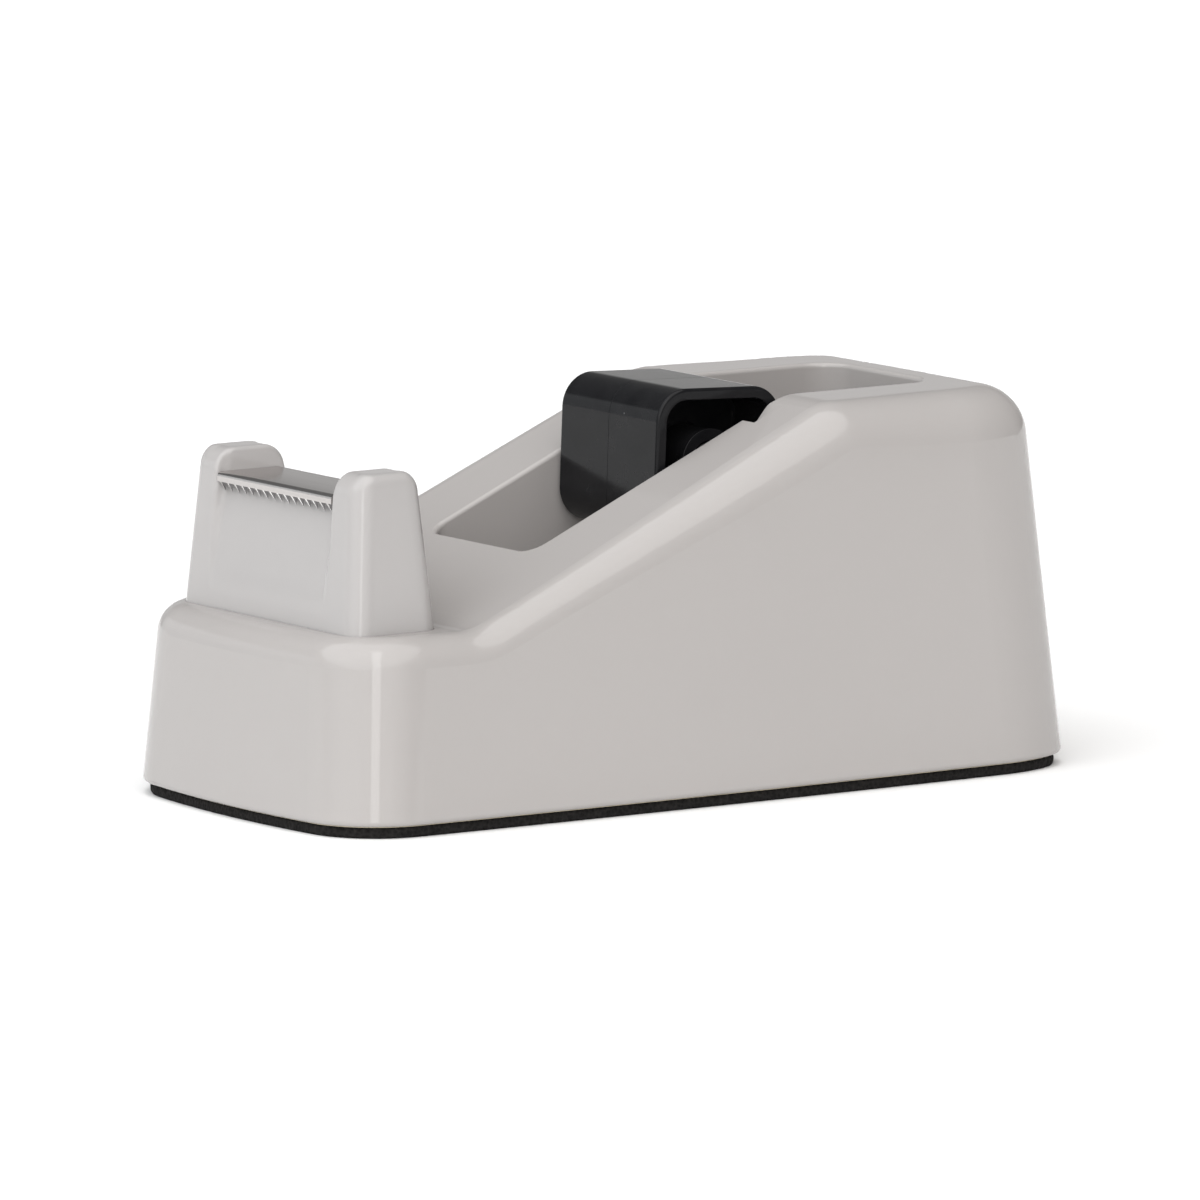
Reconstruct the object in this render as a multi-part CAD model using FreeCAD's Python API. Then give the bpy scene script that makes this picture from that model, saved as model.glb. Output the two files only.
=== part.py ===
import FreeCAD, Part
import math
import os

# A small weighted desk tape dispenser. Millimetres, +Z up, the cutter faces -Y.
# The origin is on the desk, under the middle of the shell's rim.
# Each sub-part is its own solid, or group of like solids, in parts/NODE.step.

# Shell: a drafted box with a low deck in front, a slope and a plateau behind.
width = 63.0
length = 122.8
deck_z = 26.5
plateau_z = 52.7
deck_length = 24.2
slope_angle = 23.9
draft_angle = 4.6
wall = 2.2
foot_round = 10.0
crest_round = 10.0
rim_round = 0.6
front_edge_round = 4.3
plateau_edge_round = 7.2
edge_growth_reach = 4.5

# Arcs of the rim in plan, from the front centre round to the back centre.
front_bow = 166.0
front_corner = 12.25
rear_easing = 22.4
rear_corner = 9.6
back_bow = 600.0
side_turn_front = 2.0
side_turn_rear = 0.8
rear_easing_turn = 23.4

# Tape well, with the two slanted slots that the axle drops into.
well_width = 25.0
well_front_gap = 17.9
well_rear_margin = 13.9
well_front_corner = 2.5
well_rear_corner = 4.5
well_edge_round = 0.6
well_floor_z = 12.0
well_floor_round = 7.0
slot_angle = 40.0
slot_depth = 3.3
slot_housing = 1.8

# Hub: two cups that meet at the middle, turning on a spindle with flat ends.
axle_from_well_front = 31.1
axle_below_slope = 4.2
hub_across = 20.5
hub_corner = 4.75
hub_wall = 1.8
hub_web = 2.4
hub_side_gap = 0.65
hub_edge_round = 0.45
hub_rest_turn = -2.4
hub_boss_radius = 4.4
hub_boss_inset = 2.2
axle_radius = 2.5
axle_flat = 2.2
axle_collar_radius = 3.7
axle_collar_width = 2.0
spigot_radius = 1.0
spigot_length = 1.4
spigot_offset = 6.2

# Cutter tower: a hollow moulding on the deck, two cheeks with the blade between.
tower_side_margin = 7.4
tower_front_margin = 5.2
tower_depth = 14.1
tower_corner = 3.0
tower_height = 21.4
tower_wall = 2.0
tower_recess = 0.6
cheek_width = 7.8
cheek_top_round = 2.8
cheek_edge_round = 1.1
panel_flush_height = 4.5
panel_lean_angle = 12.0

# Blade: a folded steel strip, its teeth hanging in front of the tower's panel.
blade_drop = 3.05
blade_thickness = 0.4
blade_front_set = 0.4
blade_rear_set = 0.8
blade_fold = 1.6
bevel_angle = 73.0
bevel_length = 1.5
tooth_length = 0.9
tooth_count = 16
tab_length = 3.0
tab_reach = 1.0

# Base plate, foam pad and ballast.
plate_thickness = 2.0
pad_thickness = 1.55
film_thickness = 0.15
pad_inset = 1.0
boss_radius = 3.2
boss_side_margin = 11.0
boss_end_margin = 7.4
ballast_gap = 0.5
side_ballast_height = 22.0
side_ballast_end_gap = 0.4
front_ballast_height = 12.0
front_ballast_width = 34.0
front_ballast_end_gap = 3.0

# Screws: one size of self-tapping screw, in three lengths.
screw_radius = 1.3
screw_head_radius = 2.5
screw_head_height = 1.5
base_screw_length = 9.0
ballast_screw_length = 6.5
tower_screw_length = 8.0

# Clearances.
fit = 0.15
running_fit = 0.05
slot_fit = 0.05
seam = 0.08
screw_room = 0.25
tiny = 1e-3

# Worked out from the sizes above.
rim_z = pad_thickness + film_thickness
plate_top = rim_z + plate_thickness
lean = math.tan(math.radians(draft_angle))
rise = math.tan(math.radians(slope_angle))
half_turn = math.tan(math.radians(slope_angle) / 2)
front_y = -length / 2
slope_foot_y = front_y + deck_length
crest_y = slope_foot_y + (plateau_z - deck_z) / rise
well_half = well_width / 2
well_front_y = slope_foot_y + well_front_gap
well_rear_y = length / 2 - well_rear_margin
far = 2 * (length + width + plateau_z)


def roof_z(y):
    """Height of the shell's roof along its length, its round transitions left out."""
    return max(deck_z, min(plateau_z, deck_z + (y - slope_foot_y) * rise))


axle_y = well_front_y + axle_from_well_front
axle_z = roof_z(axle_y) - axle_below_slope
hub_half_length = well_half - hub_side_gap
slot_half = axle_flat / 2 + slot_fit

tower_half = width / 2 - (deck_z - rim_z) * lean - tower_side_margin
tower_front_y = front_y + (deck_z - rim_z) * lean + tower_front_margin
tower_rear_y = tower_front_y + tower_depth
tower_top = deck_z + tower_height
gap_half = tower_half - cheek_width
blade_z = tower_top - blade_drop
blade_seat = blade_z - blade_thickness
blade_rise = (blade_z - deck_z) * lean
blade_front_y = tower_front_y + blade_rise + blade_front_set
blade_rear_y = tower_rear_y - blade_rise - blade_rear_set
tower_screw_x = gap_half + cheek_width / 2 - tower_corner / 4
tower_screw_y = (tower_front_y + tower_rear_y) / 2


def vec(x, y, z):
    return FreeCAD.Vector(x, y, z)


def box(x1, x2, y1, y2, z1, z2):
    return Part.makeBox(x2 - x1, y2 - y1, z2 - z1, vec(x1, y1, z1))


def rod(radius, x, y, z1, z2):
    """Upright cylinder."""
    return Part.makeCylinder(radius, z2 - z1, vec(x, y, z1))


def cross_rod(radius, x1, x2):
    """Cylinder along the hub's axis, in the hub's own place."""
    return Part.makeCylinder(radius, x2 - x1, vec(x1, 0, 0), vec(1, 0, 0))


def side_prism(points, x1, x2):
    """Prism along X over a closed polygon of (y, z) points."""
    corners = [vec(x1, y, z) for y, z in points]
    face = Part.Face(Part.makePolygon(corners + corners[:1]))
    return face.extrude(vec(x2 - x1, 0, 0))


def only_solid(shape):
    return shape.removeSplitter().Solids[0]


def round_edges(solid, choose):
    """Fillet the edges that choose(edge) gives a pair of radii for, from end to end."""
    radii = []
    for number, edge in enumerate(solid.Edges, 1):
        pair = choose(edge)
        if pair:
            radii.append((number, pair[0], pair[1]))
    doc = FreeCAD.newDocument()
    base = doc.addObject("Part::Feature")
    base.Shape = solid
    fillet = doc.addObject("Part::Fillet")
    fillet.Base = base
    fillet.Edges = radii
    doc.recompute()
    result = fillet.Shape.Solids[0].copy()
    FreeCAD.closeDocument(doc.Name)
    return result


def middle(edge):
    return edge.valueAt((edge.FirstParameter + edge.LastParameter) / 2)


def ends_of(edge):
    return [edge.valueAt(t) for t in (edge.FirstParameter, edge.LastParameter)]


def near(a, b):
    return abs(a - b) < tiny


# ---- Shell outline and block ----

def normal(turn):
    return vec(math.cos(turn), math.sin(turn), 0)


def rim_turns(half, span, thinning):
    """(radius, first normal angle, last) of each arc of half the outline.

    The side bow's radius and the turns of the corners close the outline on
    the given half width and length.
    """
    r1, r2, r4, r5, r6 = [r - thinning for r in
                          (front_bow, front_corner, rear_easing, rear_corner, back_bow)]
    a2 = -math.radians(side_turn_front)
    a3 = math.radians(side_turn_rear)
    a4 = a3 + math.radians(rear_easing_turn)
    c2, c3, c4 = math.cos(a2), math.cos(a3), math.cos(a4)
    side = 10 * span
    for _ in range(40):
        a1 = -math.acos((half - side * (1 - c2) - r2 * c2) / (r1 - r2))
        back = half - side * (1 - c3) - r4 * (c3 - c4) - r5 * c4
        a5 = math.acos(back / (r6 - r5))
        ends = r1 * (1 + math.sin(a1)) + r2 * (math.sin(a2) - math.sin(a1))
        ends += r4 * (math.sin(a4) - math.sin(a3)) + r5 * (math.sin(a5) - math.sin(a4))
        ends += r6 * (1 - math.sin(a5))
        side = (span - ends) / (math.sin(a3) - math.sin(a2))
    quarter = math.pi / 2
    return [(r1, -quarter, a1), (r2, a1, a2), (side, a2, a3),
            (r4, a3, a4), (r5, a4, a5), (r6, a5, quarter)]


def rim_wire(inset, thinning, z):
    """Closed plan outline, set in from the rim, with its radii thinned."""
    point = vec(0, front_y + inset, z)
    arcs = []
    for radius, first, last in rim_turns(width / 2 - inset, length - 2 * inset, thinning):
        centre = point - normal(first) * radius
        through = centre + normal((first + last) / 2) * radius
        end = centre + normal(last) * radius
        arcs.append((point, through, end))
        point = end
    right = [Part.Arc(*arc).toShape() for arc in arcs]
    left = []
    for arc in reversed(arcs):
        left.append(Part.Arc(*[vec(-p.x, p.y, p.z) for p in reversed(arc)]).toShape())
    return Part.Wire(right + left)


def drafted_block(inset, z1, z2):
    """Block with the shell's drafted sides, set in by the inset."""
    wires = [rim_wire(inset + (z - rim_z) * lean, inset, z) for z in (z1, z2)]
    return Part.makeLoft(wires, True, True)


def above_roof(drop):
    """Everything above the roof line, lowered square to itself by the drop."""
    angle = math.radians(slope_angle)
    along = vec(0, math.cos(angle), math.sin(angle))
    shift = drop * half_turn
    foot = vec(-far, slope_foot_y + shift, deck_z - drop)
    crest = vec(-far, crest_y + shift, plateau_z - drop)
    r1 = foot_round + drop
    r2 = crest_round - drop
    foot_in = foot - vec(0, r1 * half_turn, 0)
    foot_mid = foot_in + vec(0, r1 * math.sin(angle / 2), r1 * (1 - math.cos(angle / 2)))
    foot_out = foot + along * (r1 * half_turn)
    crest_in = crest - along * (r2 * half_turn)
    crest_out = crest + vec(0, r2 * half_turn, 0)
    crest_mid = crest_out - vec(0, r2 * math.sin(angle / 2), r2 * (1 - math.cos(angle / 2)))
    front_low = vec(-far, -far, foot.z)
    rear_low = vec(-far, far, crest.z)
    lines = [Part.LineSegment(front_low, foot_in), Part.Arc(foot_in, foot_mid, foot_out),
             Part.LineSegment(foot_out, crest_in), Part.Arc(crest_in, crest_mid, crest_out),
             Part.LineSegment(crest_out, rear_low),
             Part.LineSegment(rear_low, vec(-far, far, far)),
             Part.LineSegment(vec(-far, far, far), vec(-far, -far, far)),
             Part.LineSegment(vec(-far, -far, far), front_low)]
    face = Part.Face(Part.Wire([line.toShape() for line in lines]))
    return face.extrude(vec(2 * far, 0, 0))


def edge_radius(y):
    """Radius of the roof's edge: small on the slope, larger round the plateau."""
    share = (y - crest_y + edge_growth_reach) / (2 * edge_growth_reach)
    share = max(0.0, min(1.0, share))
    return front_edge_round + share * (plateau_edge_round - front_edge_round)


def shell_block(inset, z1):
    """The shell's outside, or with the inset its hollow, from z1 to the roof."""
    block = only_solid(drafted_block(inset, z1, plateau_z + wall).cut(above_roof(inset)))

    def roof_edge(edge):
        start, end = ends_of(edge)
        across = near(start.y, end.y) and near(start.z, end.z)
        if across or middle(edge).z < deck_z - inset - tiny:
            return None
        return [edge_radius(point.y) - inset for point in (start, end)]

    return round_edges(block, roof_edge)


# ---- Body shell ----

def upright_block(x, y1, y2, z1, z2, front_radius, rear_radius):
    """Upright box of half width x with rounded vertical corners."""
    block = box(-x, x, y1, y2, z1, z2)

    def corner(edge):
        if not near(edge.BoundBox.ZLength, z2 - z1):
            return None
        radius = front_radius if near(middle(edge).y, y1) else rear_radius
        return (radius, radius)

    return round_edges(block, corner)


def well_space(grow):
    """The tape well, or with grow the outside of its walls."""
    block = upright_block(well_half + grow, well_front_y - grow, well_rear_y + grow,
                          well_floor_z - grow, plateau_z + far,
                          well_front_corner + grow, well_rear_corner + grow)

    bottom = box(-far, far, well_front_y - grow, well_rear_y + grow,
                 well_floor_z - grow, plateau_z + far)

    def floor_edge(edge):
        across = near(edge.BoundBox.YLength, 0) and near(edge.BoundBox.ZLength, 0)
        low = near(middle(edge).z, well_floor_z - grow)
        return (well_floor_round + grow, well_floor_round + grow) if across and low else None

    return block.common(round_edges(bottom, floor_edge))


def slot_place(shape):
    """Lean a shape made round the axle back by the slot's angle, in its place."""
    shape.rotate(vec(0, 0, 0), vec(1, 0, 0), -slot_angle)
    shape.translate(vec(0, axle_y, axle_z))
    return shape


def slots():
    """Slot in each wall of the well, from the axle's seat up through the roof."""
    depth = well_half + slot_depth
    return slot_place(box(-depth, depth, -slot_half, slot_half, -axle_radius - slot_fit, far))


def slot_housings():
    """The thickening of the well's walls behind the slots."""
    depth = well_half + slot_depth + slot_housing
    side = slot_half + slot_housing
    return slot_place(box(-depth, depth, -side, side, -axle_radius - slot_housing, far))


def boss_places():
    x = width / 2 - boss_side_margin
    y = length / 2 - boss_end_margin
    return [(sx * x, sy * y) for sx in (-1, 1) for sy in (-1, 1)]


def tower_screw_places():
    return [(-tower_screw_x, tower_screw_y), (tower_screw_x, tower_screw_y)]


def tower_footprint(grow, z1, z2):
    """Drafted block of the cutter tower, grown outwards all round."""
    wires = []
    for z in (z1, z2):
        inset = (z - deck_z) * lean - grow
        wires.append(rounded_rectangle(tower_half - inset, tower_front_y + inset,
                                       tower_rear_y - inset, tower_corner + grow, z))
    return Part.makeLoft(wires, True, True)


def rounded_rectangle(x, y1, y2, radius, z):
    """Upright wire of a rectangle with round corners, half width x."""
    edges = []
    corners = [(-x, y1, 180), (x, y1, 270), (x, y2, 0), (-x, y2, 90)]
    last = None
    for cx, cy, start in corners:
        centre = vec(cx - math.copysign(radius, cx), cy + (radius if cy == y1 else -radius), z)
        turns = [math.radians(start + step) for step in (0, 45, 90)]
        points = [centre + normal(turn) * radius for turn in turns]
        if last:
            edges.append(Part.LineSegment(last, points[0]).toShape())
        edges.append(Part.Arc(*points).toShape())
        last = points[2]
    first = edges[0].valueAt(edges[0].FirstParameter)
    edges.append(Part.LineSegment(last, first).toShape())
    return Part.Wire(edges)


def body_shell():
    outside = shell_block(0, rim_z)
    hollow = shell_block(wall, rim_z - wall)
    solid_inside = well_space(wall).fuse(slot_housings())
    for x, y in boss_places():
        solid_inside = solid_inside.fuse(rod(boss_radius, x, y, plate_top, far))
    shell = outside.cut(hollow).fuse(solid_inside.common(outside))
    shell = shell.cut(well_space(0))

    def well_mouth(edge):
        point = middle(edge)
        in_well = abs(point.x) < well_half + tiny
        in_well = in_well and well_front_y - tiny < point.y < well_rear_y + tiny
        on_roof = point.z > roof_z(point.y) - well_edge_round
        upright = edge.BoundBox.ZLength > edge.BoundBox.YLength + tiny
        return (well_edge_round, well_edge_round) if in_well and on_roof and not upright else None

    def outer_rim(edge):
        inner = Part.Face(rim_wire(wall / 2, wall / 2, rim_z))
        outer = near(middle(edge).z, rim_z) and not inner.isInside(middle(edge), tiny, True)
        return (rim_round, rim_round) if outer else None

    shell = round_edges(only_solid(shell), well_mouth)
    shell = round_edges(shell, outer_rim)
    shell = shell.cut(slots())
    shell = shell.cut(tower_footprint(seam, deck_z - tower_recess, deck_z + wall))
    for x, y in boss_places():
        hole_top = rim_z + base_screw_length + screw_room
        shell = shell.cut(rod(screw_radius, x, y, rim_z, hole_top))
    for x, y in tower_screw_places():
        shell = shell.cut(rod(screw_radius + screw_room, x, y, deck_z - 2 * wall, deck_z))
    return only_solid(shell)


# ---- Cutter tower and blade ----

def panel_cut():
    """The space between the cheeks: above the blade's seat and before the panel."""
    flush_z = deck_z + panel_flush_height
    tilt = math.tan(math.radians(panel_lean_angle))
    front = tower_front_y + panel_flush_height * lean
    top = front + (blade_seat - flush_z) * tilt
    points = [(front - wall, flush_z - wall / tilt), (front, flush_z), (top, blade_seat),
              (tower_rear_y + wall, blade_seat), (tower_rear_y + wall, tower_top + wall),
              (front - wall, tower_top + wall)]
    return side_prism(points, -gap_half, gap_half)


def tower_side_view():
    """Prism of the tower seen from the side, its two top corners rounded."""
    draft = math.radians(draft_angle)
    turn = math.pi / 2 - draft
    reach = cheek_top_round * math.tan(turn / 2)
    inset = tower_height * lean
    wide = vec(0, tower_depth, 0)
    low = vec(0, 0, 2 * tower_height)
    edges = []
    sides = []
    for corner_y, way in ((tower_front_y + inset, 1), (tower_rear_y - inset, -1)):
        corner = vec(-far, corner_y, tower_top)
        top = corner + vec(0, way * reach, 0)
        side = corner - vec(0, way * math.sin(draft), math.cos(draft)) * reach
        across = way * cheek_top_round * math.sin(turn / 2)
        between = top - vec(0, across, cheek_top_round * (1 - math.cos(turn / 2)))
        edges.append(Part.Arc(side, between, top))
        sides.append((side, top))
    (front_side, front_top), (rear_side, rear_top) = sides
    outline = [rear_side, rear_side + wide, rear_side + wide - low,
               front_side - wide - low, front_side - wide, front_side]
    edges.append(Part.LineSegment(front_top, rear_top))
    edges += [Part.LineSegment(start, end) for start, end in zip(outline, outline[1:])]
    wire = Part.Wire(Part.__sortEdges__([edge.toShape() for edge in edges]))
    return Part.Face(wire).extrude(vec(2 * far, 0, 0))


def tower_block():
    """The tower before it is cut, with rounded cheek ends and softened top edges."""
    block = tower_footprint(0, deck_z - tower_recess, tower_top)
    block = only_solid(block.common(tower_side_view()))

    def top_edge(edge):
        lowest = min(point.z for point in ends_of(edge))
        across = edge.BoundBox.XLength > tower_half
        if lowest < tower_top - cheek_top_round or across:
            return None
        return (cheek_edge_round, cheek_edge_round)

    return round_edges(block, top_edge)


def cutter_tower():
    block = tower_block().cut(panel_cut())
    hollow_top = blade_seat - tower_wall - screw_room
    hollow = tower_footprint(-tower_wall, deck_z - wall, hollow_top)
    front_skin = panel_cut()
    front_skin.translate(vec(0, tower_wall, -tower_wall))
    hollow = hollow.cut(front_skin)
    for x, y in tower_screw_places():
        hollow = hollow.cut(rod(screw_radius + tower_wall / 2, x, y, deck_z - far, far))
    block = block.cut(hollow)
    for x, y in tower_screw_places():
        top = deck_z - wall + tower_screw_length + screw_room
        block = block.cut(rod(screw_radius, x, y, deck_z - far, top))
    return only_solid(block.cut(blade_strip(seam)))


def blade_strip(grow):
    """The blade without its teeth: plate, rear fold, front bevel and side tabs."""
    half = gap_half - seam + grow
    low = blade_seat - grow
    plate = box(-half, half, blade_front_y - grow, blade_rear_y + grow, low, blade_z + grow)
    fold = box(-half, half, blade_rear_y - blade_thickness - grow, blade_rear_y + grow,
               blade_seat - blade_fold - grow, blade_z + grow)
    reach = gap_half + tab_reach + grow
    tab = box(-reach, reach, tower_screw_y - tab_length / 2 - grow,
              tower_screw_y + tab_length / 2 + grow, low, blade_z + grow)
    return plate.fuse([fold, tab])


def bevel_point(down, inward):
    """(y, z) on the bevel, measured down from the bend and square into the steel."""
    angle = math.radians(bevel_angle)
    y = blade_front_y - down * math.cos(angle) + inward * math.sin(angle)
    z = blade_z - down * math.sin(angle) - inward * math.cos(angle)
    return (y, z)


def tooth_gap(x):
    """V-shaped gap between two teeth, centred on x."""
    pitch = 2 * (gap_half - seam) / tooth_count
    corners = []
    for offset, down in ((0, bevel_length), (pitch / 2, bevel_length + tooth_length),
                         (-pitch / 2, bevel_length + tooth_length)):
        y, z = bevel_point(down, -blade_thickness)
        corners.append(vec(x + offset, y, z))
    face = Part.Face(Part.makePolygon(corners + corners[:1]))
    outer = bevel_point(0, -blade_thickness)
    inner = bevel_point(0, 2 * blade_thickness)
    return face.extrude(vec(0, inner[0] - outer[0], inner[1] - outer[1]))


def cutter_blade():
    half = gap_half - seam
    end = bevel_length + tooth_length
    points = [bevel_point(0, 0), bevel_point(end, 0), bevel_point(end, blade_thickness),
              (blade_front_y + blade_thickness, blade_seat),
              (blade_front_y + blade_thickness, blade_z)]
    blade = blade_strip(0).fuse(side_prism(points, -half, half))
    pitch = 2 * half / tooth_count
    gaps = [tooth_gap(-half + pitch * number) for number in range(tooth_count + 1)]
    return only_solid(blade.cut(Part.makeCompound(gaps)))


# ---- Hub and axle ----

def rounded_square(across, corner, x1, x2):
    """Square bar along the hub's axis with rounded corners."""
    half = across / 2
    bar = box(x1, x2, -half, half, -half, half)

    def long_edge(edge):
        return (corner, corner) if near(edge.BoundBox.XLength, x2 - x1) else None

    return round_edges(bar, long_edge)


def hub_place(shape):
    shape.rotate(vec(0, 0, 0), vec(1, 0, 0), hub_rest_turn)
    shape.translate(vec(0, axle_y, axle_z))
    return shape


def spigots(x1, x2):
    return [Part.makeCylinder(spigot_radius, x2 - x1, vec(x1, y, 0), vec(1, 0, 0))
            for y in (-spigot_offset, spigot_offset)]


def hub_cup():
    """Right-hand half of the hub, before its spigots or sockets."""
    cup = rounded_square(hub_across, hub_corner, 0, hub_half_length)

    def mouth(edge):
        return (hub_edge_round, hub_edge_round) if near(middle(edge).x, hub_half_length) else None

    cup = round_edges(cup, mouth)
    inside = rounded_square(hub_across - 2 * hub_wall, hub_corner - hub_wall,
                            hub_web, hub_half_length + wall)
    inside = inside.cut(cross_rod(hub_boss_radius, 0, hub_half_length - hub_boss_inset))
    cup = cup.cut(inside)
    cup = cup.cut(cross_rod(axle_radius + running_fit, -1, hub_half_length))
    pocket = axle_collar_width / 2 + running_fit
    return cup.cut(cross_rod(axle_collar_radius + running_fit, -1, pocket))


def hub_half_right():
    cup = hub_cup()
    for socket in spigots(0, spigot_length + running_fit):
        cup = cup.cut(socket)
    return hub_place(only_solid(cup))


def hub_half_left():
    cup = hub_cup().mirror(vec(0, 0, 0), vec(1, 0, 0))
    cup = cup.fuse(spigots(-hub_web / 2, spigot_length))
    return hub_place(only_solid(cup))


def hub_axle():
    """Spindle with a collar at its middle and a flat tongue at each end."""
    shoulder = hub_half_length + hub_side_gap / 2
    tip = well_half + slot_depth - slot_fit
    collar = axle_collar_width / 2
    tongue = cross_rod(axle_radius, -tip, tip)
    tongue = tongue.common(box(-tip, tip, -axle_flat / 2, axle_flat / 2, -far, far))
    axle = cross_rod(axle_radius, -shoulder, shoulder)
    axle = axle.fuse([tongue, cross_rod(axle_collar_radius, -collar, collar)])
    return slot_place(only_solid(axle))


# ---- Base, pad and ballast ----

def plate_inset():
    return wall + fit + plate_thickness * lean


def head_cone(x, y):
    """Countersunk head, flush with the plate's underside."""
    return Part.makeCone(screw_head_radius, screw_radius, screw_head_height, vec(x, y, rim_z))


def ballast_screw_places():
    """Two screws in each side weight, at its quarters, and two in the front weight."""
    x = side_ballast_middle()
    y1, y2 = side_ballast_reach()
    sides = [(sx * x, y) for sx in (-1, 1) for y in ((3 * y1 + y2) / 4, (y1 + 3 * y2) / 4)]
    y = sum(front_ballast_ends()) / 2
    return sides + [(sx * front_ballast_width / 4, y) for sx in (-1, 1)]


def base_plate():
    inset = plate_inset()
    thinning = wall + fit
    wires = [rim_wire(inset, thinning, z) for z in (rim_z, plate_top)]
    plate = Part.makeLoft(wires, True, True)
    for x, y in boss_places() + ballast_screw_places():
        plate = plate.cut(rod(screw_radius, x, y, rim_z, plate_top))
        plate = plate.cut(head_cone(x, y))
    return only_solid(plate)


def pad_layer(z1, z2):
    wires = [rim_wire(pad_inset, pad_inset, z) for z in (z1, z2)]
    return only_solid(Part.makeLoft(wires, True, True))


def foam_pad():
    return pad_layer(0, pad_thickness)


def pad_adhesive():
    return pad_layer(pad_thickness, rim_z)


def side_ballast_ends():
    """(inner x, outer x) of a side weight, between the well and the drafted side."""
    top = plate_top + side_ballast_height
    outer = width / 2 - (top - rim_z) * lean - wall - ballast_gap
    outer -= rear_easing - rear_easing * math.cos(math.radians(rear_easing_turn / 2))
    return well_half + wall + slot_housing + slot_depth / 2 + ballast_gap, outer


def side_ballast_middle():
    return sum(side_ballast_ends()) / 2


def side_ballast_reach():
    """(front y, rear y) of the side weights, which run the length of the well."""
    return well_front_y + side_ballast_end_gap, well_rear_y - side_ballast_end_gap


def side_ballast(sign):
    x1, x2 = sorted(sign * x for x in side_ballast_ends())
    y1, y2 = side_ballast_reach()
    block = box(x1, x2, y1, y2, plate_top, plate_top + side_ballast_height)
    for x, y in ballast_screw_places():
        block = block.cut(rod(screw_radius, x, y, rim_z, ballast_hole_top()))
    return only_solid(block)


def ballast_hole_top():
    return rim_z + ballast_screw_length + screw_room


def front_ballast_ends():
    """(front y, rear y) of the front weight, under the deck and before the well."""
    front = front_y + wall + boss_end_margin + front_ballast_end_gap
    return front, well_front_y - wall - front_ballast_end_gap


def ballast_front():
    y1, y2 = front_ballast_ends()
    x = front_ballast_width / 2
    block = box(-x, x, y1, y2, plate_top, plate_top + front_ballast_height)
    for screw_x, screw_y in ballast_screw_places():
        block = block.cut(rod(screw_radius, screw_x, screw_y, rim_z, ballast_hole_top()))
    return only_solid(block)


# ---- Screws ----

def countersunk_screws(places, screw_length):
    screws = []
    for x, y in places:
        shank = rod(screw_radius, x, y, rim_z, rim_z + screw_length)
        screws.append(only_solid(shank.fuse(head_cone(x, y))))
    return Part.makeCompound(screws)


def base_screws():
    return countersunk_screws(boss_places(), base_screw_length)


def ballast_screws():
    return countersunk_screws(ballast_screw_places(), ballast_screw_length)


def tower_screws():
    """Pan-head screws up through the deck into the tower."""
    under = deck_z - wall
    screws = []
    for x, y in tower_screw_places():
        head = rod(screw_head_radius, x, y, under - screw_head_height, under)
        shank = rod(screw_radius, x, y, under - screw_head_height, under + tower_screw_length)
        screws.append(only_solid(head.fuse(shank)))
    return Part.makeCompound(screws)


nodes = {
    "body_shell": body_shell,
    "cutter_tower": cutter_tower,
    "cutter_blade": cutter_blade,
    "tower_screws": tower_screws,
    "base_plate": base_plate,
    "base_screws": base_screws,
    "foam_pad": foam_pad,
    "pad_adhesive": pad_adhesive,
    "ballast_left": lambda: side_ballast(-1),
    "ballast_right": lambda: side_ballast(1),
    "ballast_front": ballast_front,
    "ballast_screws": ballast_screws,
    "hub_axle": hub_axle,
    "hub_half_left": hub_half_left,
    "hub_half_right": hub_half_right,
}

os.makedirs("parts", exist_ok=True)
for node, make in nodes.items():
    shape = make()
    shape.exportStep("parts/" + node + ".step")
    print(node, len(shape.Solids), "solids", round(shape.Volume), "mm3", shape.isValid())
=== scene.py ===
# %% [markdown]
# # A desk tape dispenser, finished around its CAD model
#
# The dispenser is a weighted plastic shell with a cutter tower on its low front deck, and
# a square hub that drops into slots in the tape well. The CAD model is already packed, so
# this script loads it as a fixed frame. It then gives each piece its finish, and rebuilds
# the pieces whose small shapes matter to the eye. Sizes are written in millimetres,
# as a maker would say them, and times mm they become the metres that Blender counts in.

# %% Load the frame
import math

import bmesh
import bpy
from mathutils import Matrix, Vector, noise


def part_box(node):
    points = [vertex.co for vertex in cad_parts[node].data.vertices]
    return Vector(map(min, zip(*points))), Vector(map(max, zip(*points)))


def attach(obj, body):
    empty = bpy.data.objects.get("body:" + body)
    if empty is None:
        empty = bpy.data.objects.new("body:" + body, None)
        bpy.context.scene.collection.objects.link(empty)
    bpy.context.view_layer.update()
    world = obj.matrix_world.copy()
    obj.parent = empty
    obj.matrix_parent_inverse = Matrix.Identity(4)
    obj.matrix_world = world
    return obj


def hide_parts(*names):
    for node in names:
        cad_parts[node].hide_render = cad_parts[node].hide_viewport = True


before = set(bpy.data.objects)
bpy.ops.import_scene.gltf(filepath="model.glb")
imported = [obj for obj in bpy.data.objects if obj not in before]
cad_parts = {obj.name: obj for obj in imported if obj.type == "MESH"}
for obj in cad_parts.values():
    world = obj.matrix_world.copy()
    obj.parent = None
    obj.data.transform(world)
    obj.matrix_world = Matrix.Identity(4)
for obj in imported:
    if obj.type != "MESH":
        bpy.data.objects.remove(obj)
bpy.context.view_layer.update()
mm = 0.001
print("CAD nodes:", sorted(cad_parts))

# %% [markdown]
# ## Camera
#
# A product view from a low angle is made with a long lens from about two metres, so that
# the upright edges stay nearly parallel. The camera is built from its two angles and its
# distance, because those can be read and changed, where a typed matrix can't.

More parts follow.
